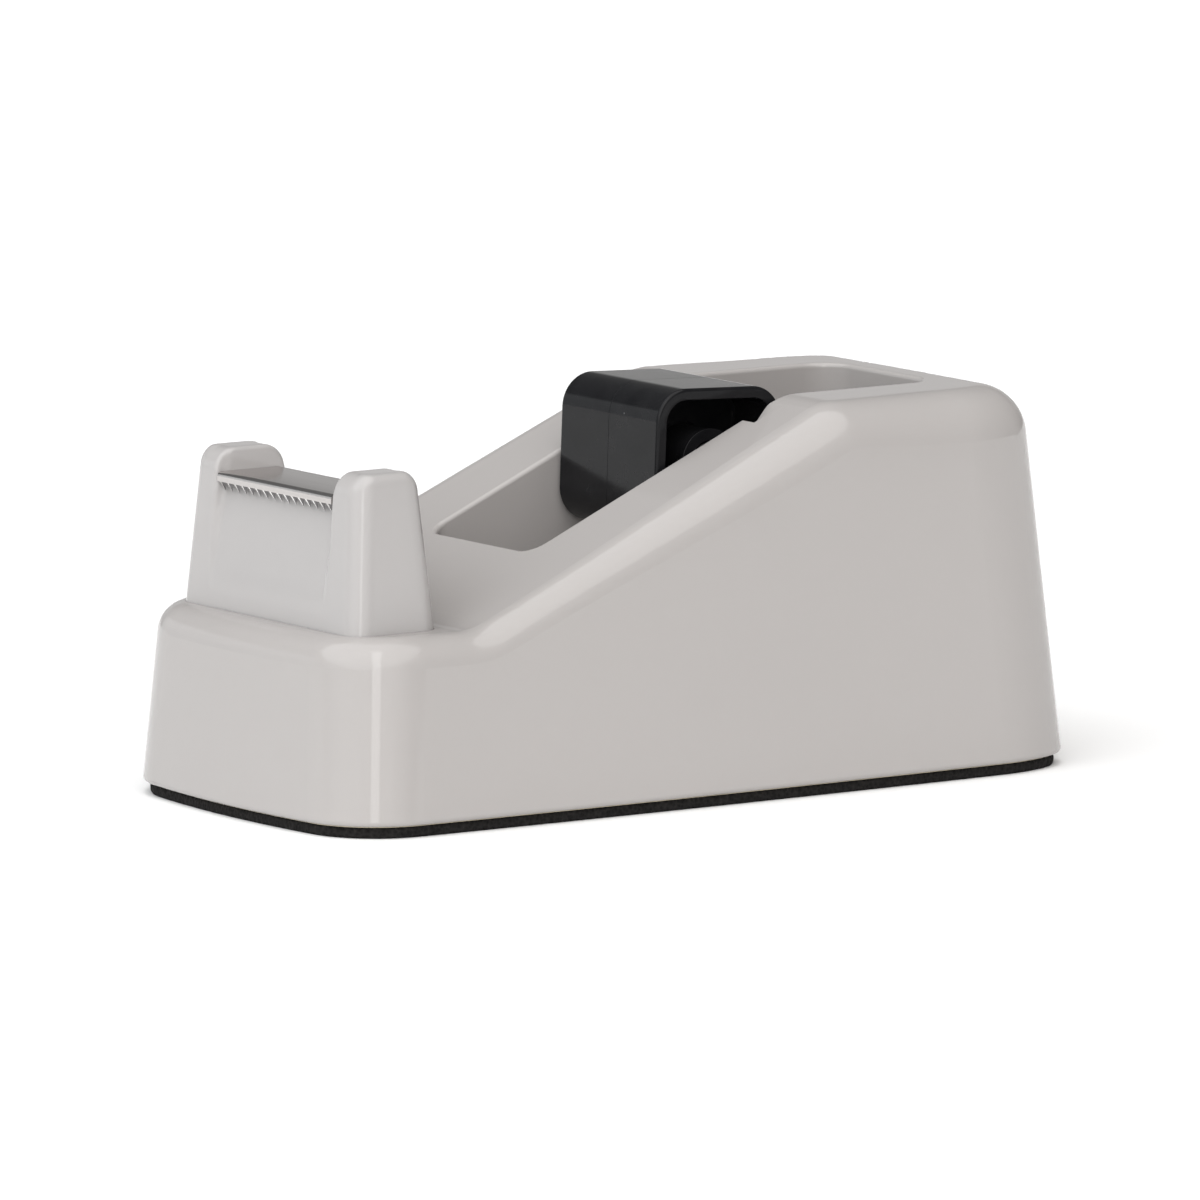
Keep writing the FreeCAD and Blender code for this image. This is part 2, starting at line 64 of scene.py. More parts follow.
# %% Place the camera
scene = bpy.context.scene
turn = math.radians(56.02)
height = math.radians(8.205)
roll = math.radians(-0.129)
distance = 1.996
target = Vector((0.0, 0.00453, 0.025))
away = Vector((math.sin(turn) * math.cos(height), -math.cos(turn) * math.cos(height),
               math.sin(height)))
level = Vector((math.cos(turn), math.sin(turn), 0.0))
up = away.cross(level)
right = level * math.cos(roll) + up * math.sin(roll)
up = up * math.cos(roll) - level * math.sin(roll)
camera = bpy.data.objects.new("camera", bpy.data.cameras.new("camera"))
camera.matrix_world = Matrix((
    (right.x, up.x, away.x, 0), (right.y, up.y, away.y, 0), (right.z, up.z, away.z, 0),
    (0, 0, 0, 1)))
camera.location = target + away * distance
camera.data.lens = 436.6
camera.data.sensor_width = 36.0
camera.data.shift_x = -0.0217
camera.data.shift_y = -0.0049
camera.data.clip_end = 20.0
scene.collection.objects.link(camera)
scene.camera = camera
print("camera at", [round(value, 3) for value in camera.location])

# %% [markdown]
# ## Sums on nodes
#
# Finishes and rule-made shapes are both small calculations, such as a noise times a
# strength. Nodes placed by hand hide that. So one class wraps a socket and takes over
# Python's operators, and one method adds any other node, settings first, then sockets.

# %% Sums on sockets
class Value:
    """A number or vector that varies over a piece. Sums on it add Math nodes."""

    def __init__(self, graph, socket):
        self.graph = graph
        self.socket = socket

    def math(self, operation, first, second=0.0):
        """One Math node, for a sum that has no operator of its own."""
        return self.graph.node("ShaderNodeMath", {"operation": operation},
                               {0: first, 1: second})

    def __add__(self, other):
        return self.math("ADD", self, other)

    def __sub__(self, other):
        return self.math("SUBTRACT", self, other)

    def __rsub__(self, other):
        return self.math("SUBTRACT", other, self)

    def __mul__(self, other):
        return self.math("MULTIPLY", self, other)

    def __abs__(self):
        return self.math("ABSOLUTE", self)

    __radd__ = __add__
    __rmul__ = __mul__


print("sums on sockets ready")


# %% Node trees as expressions
class Graph:
    """A node tree that is written as expressions."""

    def __init__(self, tree):
        self.tree = tree

    def node(self, kind, settings=None, sockets=None, out=0):
        """Adds a node, sets it up, links or fills its sockets, returns one output."""
        node = self.tree.nodes.new(kind)
        for setting, value in (settings or {}).items():
            setattr(node, setting, value)
        for name, value in (sockets or {}).items():
            if isinstance(value, Value):
                self.tree.links.new(value.socket, node.inputs[name])
            else:
                node.inputs[name].default_value = value
        return Value(self, node.outputs[out])

    def step(self, value, start, end):
        """0 below start, 1 above end, and smooth between them."""
        return self.node("ShaderNodeMapRange", {"interpolation_type": "SMOOTHSTEP"},
                         {"Value": value, "From Min": start, "From Max": end})

    def along(self, vector, direction):
        """How far a vector reaches in a fixed direction."""
        return self.node("ShaderNodeVectorMath", {"operation": "DOT_PRODUCT"},
                         {0: vector, 1: direction}, out="Value")

    def mix(self, amount, low, high):
        """A colour between low and high."""
        colours = {6: low, 7: high}
        for key, colour in colours.items():
            if not isinstance(colour, Value):
                colours[key] = (*colour, 1.0)
        return self.node("ShaderNodeMix", {"data_type": "RGBA"}, {0: amount, **colours},
                         out=2)


print("node trees ready")


# %% Finishes as expressions
class Finish(Graph):
    """A material under construction, with its shader and the surface's own place."""

    def __init__(self, name, **constants):
        self.material = bpy.data.materials.new(name)
        self.material.use_nodes = True
        super().__init__(self.material.node_tree)
        self.shader = self.tree.nodes["Principled BSDF"]
        for socket, value in constants.items():
            self.shader.inputs[socket.replace("_", " ")].default_value = value
        self.place = self.node("ShaderNodeTexCoord", out="Object")

    def noise(self, scale, detail=2.0, place=None, roughness=0.5):
        """Cloudy noise between 0 and 1 with features about 1 / scale metres across."""
        return self.node("ShaderNodeTexNoise", {}, {"Vector": place or self.place,
                         "Scale": scale, "Detail": detail, "Roughness": roughness})

    def stretched(self, x, y, z):
        """The surface's place with each axis scaled, for patterns that run one way."""
        return self.node("ShaderNodeMapping", {}, {"Vector": self.place, "Scale": (x, y, z)})

    def drive(self, socket, value):
        """Lets a value decide one socket of the shader."""
        self.tree.links.new(value.socket, self.shader.inputs[socket])

    def bump(self, height, depth):
        """Raises the surface by height times depth, in metres."""
        self.drive("Normal", self.node("ShaderNodeBump", {}, {
            "Height": height, "Distance": depth, "Strength": 1.0}))


def linear(red, green, blue):
    """Linear light for a colour given in the usual 0 to 255 screen steps."""
    levels = []
    for step in (red, green, blue):
        share = step / 255
        dark = share < 0.04045
        levels.append(share / 12.92 if dark else ((share + 0.055) / 1.055) ** 2.4)
    return tuple(levels)


print("finishes can be written; middle grey is", linear(128, 128, 128))

# %% [markdown]
# ## Floor and light
#
# The object stands on a white table under a big overhead soft box, with a wide fill from
# the camera's side and one narrow strip light. Glossy plastic shows those shapes as soft
# bands on its rounded edges and a thin line on each upright corner. Two dimmer cards on
# the left brighten the far edges. All of these could be area lights, but a world that is
# a function of direction lights the table evenly as well.

# %% Make the floor
scene.view_settings.view_transform = "Standard"
reach = 20.0
corners = [(-reach, -reach, 0), (reach, -reach, 0), (reach, reach, 0), (-reach, reach, 0)]
floor_mesh = bpy.data.meshes.new("floor")
floor_mesh.from_pydata(corners, [], [(0, 1, 2, 3)])
floor = bpy.data.objects.new("floor", floor_mesh)
scene.collection.objects.link(floor)
paper = Finish("floor_paper", Roughness=0.8, Specular_IOR_Level=0.0)
paper.drive("Base Color", paper.mix(paper.noise(40.0), (0.94, 0.94, 0.94),
                                    (0.96, 0.96, 0.96)))
floor.data.materials.append(paper.material)
print("floor reaches", reach, "m each way")

# %% Light it from every direction
world = bpy.data.worlds.new("studio")
scene.world = world
world.use_nodes = True
sky = Graph(world.node_tree)
towards = sky.node("ShaderNodeTexCoord", out="Generated")
rise = sky.along(towards, (0.0, 0.0, 1.0))
front = (math.sin(turn), -math.cos(turn), 0.0)
across = (math.cos(turn), math.sin(turn), 0.0)
ahead = sky.along(towards, front)
aside = sky.along(towards, across)
overhead = sky.step(sky.along(towards, (0.28, -0.40, 0.873)), 0.61, 0.65)
fill = sky.step(sky.along(towards, (0.62, -0.78, 0.0)), 0.42, 0.94) * (1 - overhead)
strip = sky.step(abs(aside + 0.03), 0.090, 0.078) * sky.step(ahead, 0.2, 0.4)
left_front = sky.step(sky.along(towards, (-0.85, -0.52, 0.08)), 0.82, 0.90)
left_front = left_front * sky.step(rise, 0.36, 0.32)
left_back = sky.step(sky.along(towards, (-0.82, 0.56, 0.1)), 0.8, 0.96)
left_back = left_back * sky.step(rise, 0.30, 0.18)
overhead_power, fill_power, strip_power = 1.80, 0.92, 2.9
left_front_power, left_back_power, room_power = 0.65, 0.32, 0.17
strength = overhead * overhead_power + fill * fill_power + strip * strip_power + room_power
strength = strength + left_front * left_front_power + left_back * left_back_power
warm, cool = (1.0, 0.985, 0.97), (0.95, 0.98, 1.0)
backdrop = world.node_tree.nodes["Background"]
tint = sky.mix(sky.step(aside, 0.3, -0.9), warm, cool)
world.node_tree.links.new(tint.socket, backdrop.inputs["Color"])
world.node_tree.links.new(strength.socket, backdrop.inputs["Strength"])
print("world tree has", len(world.node_tree.nodes), "nodes")

# %% [markdown]
# ## Glossy shell plastic
#
# The shell and the tower are moulded in a polished steel tool, from a warm light grey. A
# real moulding isn't perfectly flat: it has a faint waviness where it shrank, very fine
# polishing haze, and the grey is not quite even. Those are small, slow noises.

# %% Shell and tower plastic
def moulded_grey(name, light, dark):
    """Glossy grey plastic whose tone drifts between two colours."""
    finish = Finish(name, Specular_IOR_Level=0.38)
    cloud = finish.noise(22.0, 3.0)
    speck = finish.noise(2600.0, 1.0)
    finish.drive("Base Color", finish.mix(cloud * 0.8 + speck * 0.2, dark, light))
    haze = finish.noise(90.0, 4.0)
    finish.drive("Roughness", haze * 0.04 + 0.03)
    shrink = finish.noise(35.0, 1.0)
    grain = finish.noise(1800.0, 2.0)
    finish.bump(shrink + grain * 0.004, 0.00004)
    return finish.material


greys = {"shell_plastic": ((172, 168, 166), (168, 164, 162)),
         "tower_plastic": ((175, 172, 171), (171, 168, 167))}
finishes = {name: moulded_grey(name, linear(*light), linear(*dark))
            for name, (light, dark) in greys.items()}
print("grey plastics:", sorted(finishes))

# %% [markdown]
# ## Black hub plastic
#
# The hub is black styrene with a high gloss that shows fine scuffs and a little dust. The
# dust could be loose grains, but at this size a few cells of a Voronoi texture, cut to
# small dots, look the same. The scuffs are a noise stretched along the axle.

# %% Hub plastic
black = Finish("hub_plastic", Specular_IOR_Level=0.16)
dust = black.node("ShaderNodeTexVoronoi", {}, {"Vector": black.place, "Scale": 260.0})
specks = black.step(dust, 0.045, 0.02)
black.drive("Base Color", black.mix(black.noise(300.0, 3.0) * 0.03 + specks * 0.5,
                                    (0.005, 0.005, 0.006), (0.35, 0.35, 0.36)))
scuffs = black.noise(700.0, 5.0, black.stretched(0.12, 1.0, 1.0))
black.drive("Roughness", scuffs * 0.10 + 0.07 + specks * 0.4)
black.bump(black.noise(60.0, 1.0) + specks * 0.2, 0.00004)
finishes["hub_plastic"] = black.material
print("hub plastic has", len(black.tree.nodes), "nodes")

# %% [markdown]
# ## Blade steel
#
# The blade is stainless strip, brushed along its length by the rolling mill, so its noise
# is stretched across the tower. Each ground tooth is too small to mirror the room in a
# picture, so its left and right sides are told apart by the way their faces point, and get
# painted light in their colour: a painted highlight on one side and painted shade on the
# other, as a bright and a dark base colour.

# %% Steel
teeth_line = 0.0435
steel = Finish("blade_steel", Metallic=1.0)
brushed = steel.noise(2500.0, 3.0, steel.stretched(0.02, 1.0, 1.0))
stain = steel.noise(120.0, 3.0)
sheet = steel.mix(brushed * 0.6 + stain * 0.4, (0.50, 0.475, 0.465), (0.64, 0.615, 0.60))
face_way = steel.node("ShaderNodeNewGeometry", out="True Normal")
low_down = steel.step(steel.along(steel.place, (0.0, 0.0, 1.0)), teeth_line + 0.06 * mm,
                      teeth_line)
# Painted highlight and painted shade: below the teeth line, faces turned to -x get a bright
# base colour and faces turned to +x a dark one, standing in for reflections.
painted_shade_flank = steel.step(steel.along(face_way, (1.0, 0.0, 0.0)), 0.05, 0.1) * low_down
painted_highlight_flank = steel.step(steel.along(face_way, (-1.0, 0.0, 0.0)), 0.05, 0.1) * low_down
sheet_with_painted_shade = steel.mix(painted_shade_flank, sheet, (0.13, 0.125, 0.125))
steel.drive("Base Color", steel.mix(painted_highlight_flank, sheet_with_painted_shade, (0.92, 0.91, 0.90)))
steel.drive("Roughness", brushed * 0.12 + 0.12)
steel.bump(brushed, 0.000002)
finishes["blade_steel"] = steel.material
print("teeth change their metal below", teeth_line, "m")

# %% [markdown]
# ## Foam and its film
#
# The pad is foam rubber, whose cut cells make a dark grain. A Voronoi texture is already
# a field of cells, so it gives both the tone and the pits. The film that holds the pad is
# amber and half shiny, with a fine ripple.

# %% Foam and film
foam = Finish("pad_foam", Roughness=0.95, Specular_IOR_Level=0.15)
cells = foam.node("ShaderNodeTexVoronoi", {}, {"Vector": foam.place, "Scale": 1700.0})
clumps = foam.noise(600.0, 4.0)
foam.drive("Base Color", foam.mix(cells * 0.6 + clumps * 0.4, (0.002, 0.002, 0.002),
                                  (0.030, 0.028, 0.027)))
foam.bump(cells + clumps * 0.5, 0.00025)
finishes["pad_foam"] = foam.material

film = Finish("adhesive_film", Specular_IOR_Level=0.5, Coat_Weight=0.3)
film.drive("Base Color", film.mix(film.noise(180.0, 4.0), (0.46, 0.40, 0.28),
                                  (0.58, 0.52, 0.38)))
film.drive("Roughness", film.noise(500.0, 3.0) * 0.3 + 0.25)
film.bump(film.noise(900.0, 2.0), 0.00002)
finishes["adhesive_film"] = film.material
print("foam and film ready")

# %% [markdown]
# ## Inside pieces
#
# The base plate is dull black plastic with a spark-eroded grain. Screws are zinc plated,
# with a cloudy bloom. The weights are raw cast iron with a rough skin and some rust: where
# the rust is, the surface stops being metal. The axle is black acetal, with wear that runs
# round it.

# %% Plate, screws, weights and axle
plate = Finish("base_plastic")
grit = plate.noise(3000.0, 2.0)
plate.drive("Base Color", plate.mix(plate.noise(60.0, 3.0), (0.030, 0.030, 0.031),
                                    (0.042, 0.041, 0.040)))
plate.drive("Roughness", grit * 0.25 + 0.45)
plate.bump(grit, 0.00003)
finishes["base_plastic"] = plate.material

zinc = Finish("screw_steel", Metallic=1.0)
bloom = zinc.noise(900.0, 4.0)
zinc.drive("Base Color", zinc.mix(bloom, (0.52, 0.54, 0.56), (0.70, 0.71, 0.70)))
zinc.drive("Roughness", bloom * 0.25 + 0.22)
zinc.bump(zinc.noise(4000.0, 2.0), 0.00001)
finishes["screw_steel"] = zinc.material

iron = Finish("ballast_iron", Specular_IOR_Level=0.4)
skin = iron.noise(450.0, 6.0, roughness=0.65)
rust = iron.step(iron.noise(90.0, 5.0), 0.58, 0.72)
iron.drive("Base Color", iron.mix(rust * 0.5, (0.055, 0.053, 0.052), (0.16, 0.075, 0.035)))
iron.drive("Metallic", 0.75 - rust * 0.6)
iron.drive("Roughness", skin * 0.35 + 0.42)
iron.bump(skin, 0.00035)
finishes["ballast_iron"] = iron.material

acetal = Finish("axle_plastic")
wear = acetal.noise(1200.0, 4.0, acetal.stretched(1.0, 0.15, 0.15))
acetal.drive("Base Color", acetal.mix(wear, (0.012, 0.012, 0.013), (0.020, 0.020, 0.021)))
acetal.drive("Roughness", wear * 0.2 + 0.3)
acetal.bump(wear, 0.00002)
finishes["axle_plastic"] = acetal.material
print("inside pieces have their finishes")

# %% Give every CAD node its finish
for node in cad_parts.values():
    slot = node.material_slots[0]
    slot.material = finishes[slot.material.name.split(".")[0]]
print("finishes:", sorted(finishes))

# %% [markdown]
# ## Steps that every piece shares
#
# Every new piece goes through the same few steps: a mesh in place, an object at the
# origin, its finish, its body and the CAD nodes it stands for. A lofted piece is a chain
# of rings with equal point counts, so one short function joins them into a closed skin.

# %% Put a piece into the scene
def add_piece(name, mesh, slot, body="body", replaces=()):
    """Puts a finished mesh into the scene as a piece that rides on a CAD body."""
    piece = bpy.data.objects.new(name, mesh)
    scene.collection.objects.link(piece)
    if not mesh.materials:
        mesh.materials.append(finishes[slot])
    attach(piece, body)
    if replaces:
        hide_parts(*replaces)
    low = [min(v.co[i] for v in mesh.vertices) / mm for i in range(3)]
    high = [max(v.co[i] for v in mesh.vertices) / mm for i in range(3)]
    print(name, len(mesh.polygons), "faces, from", [round(c, 2) for c in low], "to",
          [round(c, 2) for c in high])
    return piece


print("pieces can be added")


# %% Skins from rings
def ring_mesh(name, rings, closed):
    """Quads between rings of points; closed joins the last ring to the first."""
    count = len(rings[0])
    faces = []
    pairs = list(zip(range(len(rings)), range(1, len(rings))))
    if closed:
        pairs.append((len(rings) - 1, 0))
    for first, second in pairs:
        for k in range(count):
            after = (k + 1) % count
            faces.append((first * count + k, first * count + after,
                          second * count + after, second * count + k))
    if not closed:
        faces.append(tuple(range(count))[::-1])
        faces.append(tuple((len(rings) - 1) * count + k for k in range(count)))
    mesh = bpy.data.meshes.new(name)
    mesh.from_pydata([point for ring in rings for point in ring], [], faces)
    return mesh


def tidy_mesh(mesh, sharp_angle):
    """Merges doubles, turns faces outwards, and shades smooth up to the sharp angle."""
    work = bmesh.new()
    work.from_mesh(mesh)
    bmesh.ops.remove_doubles(work, verts=work.verts, dist=1e-7)
    bmesh.ops.recalc_face_normals(work, faces=work.faces)
    if work.calc_volume(signed=True) < 0:
        bmesh.ops.reverse_faces(work, faces=work.faces)
    work.to_mesh(mesh)
    work.free()
    for face in mesh.polygons:
        face.use_smooth = True
    mesh.set_sharp_from_angle(angle=math.radians(sharp_angle))
    return mesh


print("ring skins ready")


# %% Plain meshes from modifiers
def baked(carrier):
    """The plain mesh of an object with its modifiers applied. The object is removed."""
    bpy.context.view_layer.update()
    evaluated = carrier.evaluated_get(bpy.context.evaluated_depsgraph_get())
    result = bpy.data.meshes.new_from_object(evaluated)
    bpy.data.objects.remove(carrier)
    return result


def settled(mesh, name, modifiers):
    """The plain mesh that a list of (type, settings) modifiers makes of a mesh."""
    carrier = bpy.data.objects.new(name, mesh)
    scene.collection.objects.link(carrier)
    for kind, settings in modifiers:
        modifier = carrier.modifiers.new(kind.lower(), kind)
        for key, value in settings.items():
            setattr(modifier, key, value)
    return baked(carrier)


even_light = ("WEIGHTED_NORMAL", {"mode": "FACE_AREA", "keep_sharp": True, "weight": 80})
print("modifiers can be settled into plain meshes")

# %% [markdown]
# ## Shapes that follow a rule
#
# The tower, the row of teeth and the screws each follow a rule, so Geometry Nodes make
# them. They could be modelled by hand, but then a changed size would mean starting again.
# Each group has a named input for every size, and its result is turned into a plain mesh,
# because a live modifier or an instance wouldn't survive the export.

# %% Geometry Nodes groups
def node_group(name, sizes):
    """A new Geometry Nodes group, its sizes by name, and the geometry that comes in."""
    group = bpy.data.node_groups.new(name, "GeometryNodeTree")
    group.interface.new_socket("Geometry", in_out="INPUT", socket_type="NodeSocketGeometry")
    group.interface.new_socket("Geometry", in_out="OUTPUT", socket_type="NodeSocketGeometry")
    graph = Graph(group)
    source = group.nodes.new("NodeGroupInput")
    group.nodes.new("NodeGroupOutput")
    values = {}
    for label in sizes:
        group.interface.new_socket(label, in_out="INPUT", socket_type="NodeSocketFloat")
    for label in sizes:
        values[label] = Value(graph, source.outputs[label])
    return graph, values, Value(graph, source.outputs["Geometry"])


def close_group(graph, geometry, slot):
    """Ends a group with Realize Instances and Set Material."""
    real = graph.node("GeometryNodeRealizeInstances", {}, {0: geometry})
    painted = graph.node("GeometryNodeSetMaterial", {}, {"Geometry": real,
                         "Material": finishes[slot]})
    output = next(n for n in graph.tree.nodes if n.bl_idname == "NodeGroupOutput")
    graph.tree.links.new(painted.socket, output.inputs[0])


def grown(graph, sizes, mesh, name):
    """The plain mesh that a group makes of a mesh, with its sizes set by identifier."""
    carrier = bpy.data.objects.new(name, mesh)
    modifier = carrier.modifiers.new("rule", "NODES")
    modifier.node_group = graph.tree
    for item in graph.tree.interface.items_tree:
        if item.in_out == "INPUT" and item.name in sizes:
            modifier[item.identifier] = float(sizes[item.name])
    scene.collection.objects.link(carrier)
    return baked(carrier)


print("Geometry Nodes groups can be written")


# %% [markdown]
# ## Cutter tower
#
# The tower is one moulding: a drafted block with two cheeks, and a panel between them
# that leans back as it rises. Where the panel meets a cheek, the surfaces flow into each
# other. A mesh with that many fillets is hard to model by hand. But the shape follows a
# rule, so Geometry Nodes measure the distance to it at each point of a volume, with
# rounded joins between its surfaces, and turn the zero level into a skin.

# %% Rounded joins between surfaces
def lesser(a, b):
    return a.math("MINIMUM", a, b)


def greater(a, b):
    return a.math("MAXIMUM", a, b)


def root(a):
    return a.math("SQRT", a)


def round_join(a, b, radius):
    """Where both distances are inside, with the corner between them rounded."""
    past_a = greater(a + radius, 0.0)
    past_b = greater(b + radius, 0.0)
    return root(past_a * past_a + past_b * past_b) + lesser(greater(a, b), 0.0 - radius)


print("rounded joins ready")

# %% Sizes of the tower, in mm
draft = math.tan(math.radians(4.6))
deck_z = 26.5
tower_sizes = {"Half width": 22.105, "Half depth": 7.05, "Middle": -47.155, "Corner": 3.0,
               "Top": 47.9, "Bottom": 25.92, "Gap": 14.305, "Seat": 44.45,
               "Flush height": 31.0, "End round": 3.0, "Side round": 1.3,
               "Cheek round": 0.65, "Panel blend": 0.9, "Seat edge": 0.3,
               "Panel foot": 0.4}
# A sloped wall is nearer than a level measure says, by the cosine of its slope.
draft_share, lean_share = 0.9968, 0.978
panel_fade, seat_fade = (-1.2, 0.6), (-0.3, 1.5)
print("tower is", 2 * tower_sizes["Half width"], "mm wide at the deck")

# %% The tower's outer block, as a distance
rule, size, _ = node_group("tower_rule", tower_sizes)
where = rule.node("GeometryNodeInputPosition")
scaled = rule.node("ShaderNodeVectorMath", {"operation": "SCALE"},
                   {0: where, "Scale": 1000.0})
x, y, z = (rule.along(scaled, axis) for axis in ((1, 0, 0), (0, 1, 0), (0, 0, 1)))
inset = (z - deck_z) * draft
side = abs(x) - (size["Half width"] - inset - size["Corner"])
end = abs(y - size["Middle"]) - (size["Half depth"] - inset - size["Corner"])
side_out = greater(side, 0.0)
end_out = greater(end, 0.0)
corner_reach = root(side_out * side_out + end_out * end_out)
walls = (corner_reach + lesser(greater(side, end), 0.0) - size["Corner"]) * draft_share
never_zero = 0.001
endness = end_out * end_out + never_zero
endness = endness.math("DIVIDE", endness, endness + side_out * side_out)
top_round = size["Side round"] + endness * (size["End round"] - size["Side round"])
block = round_join(walls, z - size["Top"], top_round)
print("block is", len(rule.tree.nodes), "nodes")

# %% Cut the panel and the seat out of it
panel_lean = math.tan(math.radians(12.0))
panel_y = size["Middle"] - size["Half depth"] + (size["Flush height"] - deck_z) * draft
panel = (y - panel_y - (z - size["Flush height"]) * panel_lean) * lean_share
between = abs(x) - size["Gap"]
front_space = round_join(between, panel, size["Panel blend"])
over_seat = greater(between, size["Seat"] - z)
by_cheek = rule.step(between - panel, *panel_fade)
tower = round_join(block, 0.0 - front_space, size["Panel foot"] + by_cheek
                   * (size["Cheek round"] - size["Panel foot"]))
near_cheek = rule.step(between - (size["Seat"] - z), *seat_fade)
tower = round_join(tower, 0.0 - over_seat, size["Seat edge"] + near_cheek
                   * (size["Cheek round"] - size["Seat edge"]))
tower = greater(tower, size["Bottom"] - z)
print("tower is", len(rule.tree.nodes), "nodes")

# %% Turn the distance into a skin
low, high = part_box("cutter_tower")
margin = Vector((0.6, 0.6, 0.6)) * mm
voxel = 0.27 * mm
span = (high + margin) - (low - margin)
volume = rule.node("GeometryNodeVolumeCube", {}, {
    "Density": 0.0 - tower, "Background": -1.0, "Min": low - margin, "Max": high + margin,
    "Resolution X": round(span.x / voxel), "Resolution Y": round(span.y / voxel),
    "Resolution Z": round(span.z / voxel)})
skin = rule.node("GeometryNodeVolumeToMesh", {}, {"Volume": volume, "Threshold": 0.0})
close_group(rule, skin, "tower_plastic")
tower_mesh = grown(rule, tower_sizes, bpy.data.meshes.new("empty"), "tower_maker")
tower_crease = 50
tidy_mesh(tower_mesh, tower_crease)
add_piece("cutter_tower_moulding", tower_mesh, "tower_plastic", replaces=["cutter_tower"])

# %% [markdown]
# ## Blade
#
# The blade is a stainless strip, folded down behind the tower's seat and in front of it.
# Its front edge is ground into small pyramid teeth, and each tooth has a painted highlight
# on one side and painted shade on the other, as a bright and a dark base colour. The folded
# strip is one profile pulled across the tower. The teeth are one four-sided cone, hung from
# the strip's lower edge and repeated by Geometry Nodes.

# %% Folded strip
# Sizes in mm: half its length, the height of its top, and the places of its two folds.
blade_half = 14.225
blade_z = 44.85
steel_thick = 0.4
bend = 0.65
strip_y = -52.68
strip_low = blade_z - 1.3
fold_y = -42.38
fold_low = 42.85
end_bevel = 0.05


def arc(cy, cz, radius, start, stop, steps=6):
    """Points of an arc in the side view, from one angle to another, in degrees."""
    angles = [math.radians(start + (stop - start) * k / steps) for k in range(steps + 1)]
    return [(cy + radius * math.cos(a), cz + radius * math.sin(a)) for a in angles]


outer = [(strip_y, strip_low)] + arc(strip_y + bend, blade_z - bend, bend, 180, 90)
outer += arc(fold_y - bend, blade_z - bend, bend, 90, 0) + [(fold_y, fold_low)]
inner_bend = bend - steel_thick
inner = [(fold_y - steel_thick, fold_low)]
inner += arc(fold_y - bend, blade_z - bend, inner_bend, 0, 90)
inner += arc(strip_y + bend, blade_z - bend, inner_bend, 90, 180)
inner += [(strip_y + steel_thick, strip_low)]
rings = []
for along in (-blade_half, -blade_half + end_bevel, blade_half - end_bevel, blade_half):
    rings.append([(along * mm, py * mm, pz * mm) for py, pz in outer + inner])
strip_crease = 30
strip_mesh = tidy_mesh(ring_mesh("strip", rings, closed=False), strip_crease)
print("strip is folded", round(fold_y - strip_y, 2), "mm front to back")

# %% Row of teeth
tooth_count = 16
tooth_sizes = {"Count": tooth_count, "Half length": blade_half,
               "Root height": strip_low + 0.06, "Root place": strip_y + steel_thick / 2,
               "Tooth length": 1.5, "Half pitch": blade_half / tooth_count,
               "Half thickness": 0.15, "Lean": 0.42}
teeth, size, strip_in = node_group("teeth_rule", tooth_sizes)
first_place = teeth.node("ShaderNodeCombineXYZ", {}, {
    "X": (size["Half pitch"] - size["Half length"]) * mm, "Y": size["Root place"] * mm,
    "Z": size["Root height"] * mm})
pitch = teeth.node("ShaderNodeCombineXYZ", {}, {"X": size["Half pitch"] * 2.0 * mm})
row = teeth.node("GeometryNodeMeshLine", {}, {
    "Count": size["Count"], "Start Location": first_place, "Offset": pitch})
cone = teeth.node("GeometryNodeMeshCone", {}, {
    "Vertices": 4, "Side Segments": 4, "Fill Segments": 1, "Radius Top": 0.0001 * mm,
    "Radius Bottom": 1.0 * mm, "Depth": 1.0 * mm})
turned = teeth.node("GeometryNodeTransform", {}, {
    "Geometry": cone,
    "Rotation": teeth.node("ShaderNodeCombineXYZ", {}, {"X": size["Lean"] + math.pi}),
    "Scale": teeth.node("ShaderNodeCombineXYZ", {}, {
        "X": size["Half pitch"], "Y": size["Half thickness"], "Z": size["Tooth length"]})})
repeated = teeth.node("GeometryNodeInstanceOnPoints", {}, {"Points": row, "Instance": turned})
both = teeth.node("GeometryNodeJoinGeometry")
for part in (repeated, strip_in):
    teeth.tree.links.new(part.socket, both.socket.node.inputs[0])
close_group(teeth, both, "blade_steel")
blade_mesh = grown(teeth, tooth_sizes, strip_mesh, "blade_maker")
tooth_crease = 20
tidy_mesh(blade_mesh, tooth_crease)
add_piece("cutter_blade_toothed", blade_mesh, "blade_steel", replaces=["cutter_blade"])

# %% [markdown]
# ## Hub halves
#
# The hub is two square cups of black plastic that meet at the middle, with a hollow boss
# for the axle inside. Each is a chain of rounded squares and circles with the same number
# of points: out along the outside, over the lip, down the inside wall, across the web,
# and up and back through the boss. Small bevels at the seam and the lip catch the light.

# %% Rings round the hub's axis
hub_middle = Vector((0.0, 11.8, 44.014)) * mm
hub_turn = Matrix.Rotation(math.radians(-2.4), 4, "X")
arc_steps = 14


def rounded_square(half, corner, x):
    """Ring of a rounded square round the hub's axis, at a place along it, in mm."""
    points = []
    for quarter in range(4):
        base = math.pi / 2 * quarter
        centre_y = (half - corner) * math.copysign(1, math.cos(base + math.pi / 4))
        centre_z = (half - corner) * math.copysign(1, math.sin(base + math.pi / 4))
        for k in range(arc_steps + 1):
            a = base + math.pi / 2 * k / arc_steps
            points.append(Vector((x, centre_y + corner * math.cos(a),
                                  centre_z + corner * math.sin(a))) * mm)
    return points


def rounding(half, corner, x, radius, start, stop, steps=6, side=1):
    """Rings round the outer (side 1) or inner (side -1) edge at x, by turning angles."""
    rings = []
    for k in range(steps + 1):
        a = math.radians(start + (stop - start) * k / steps)
        into = radius * (1 - math.cos(a)) * side
        rings.append(rounded_square(half - into, corner - into,
                                    x - radius * (1 - math.sin(a))))
    return rings


print("hub turns about", [round(c, 4) for c in hub_middle])


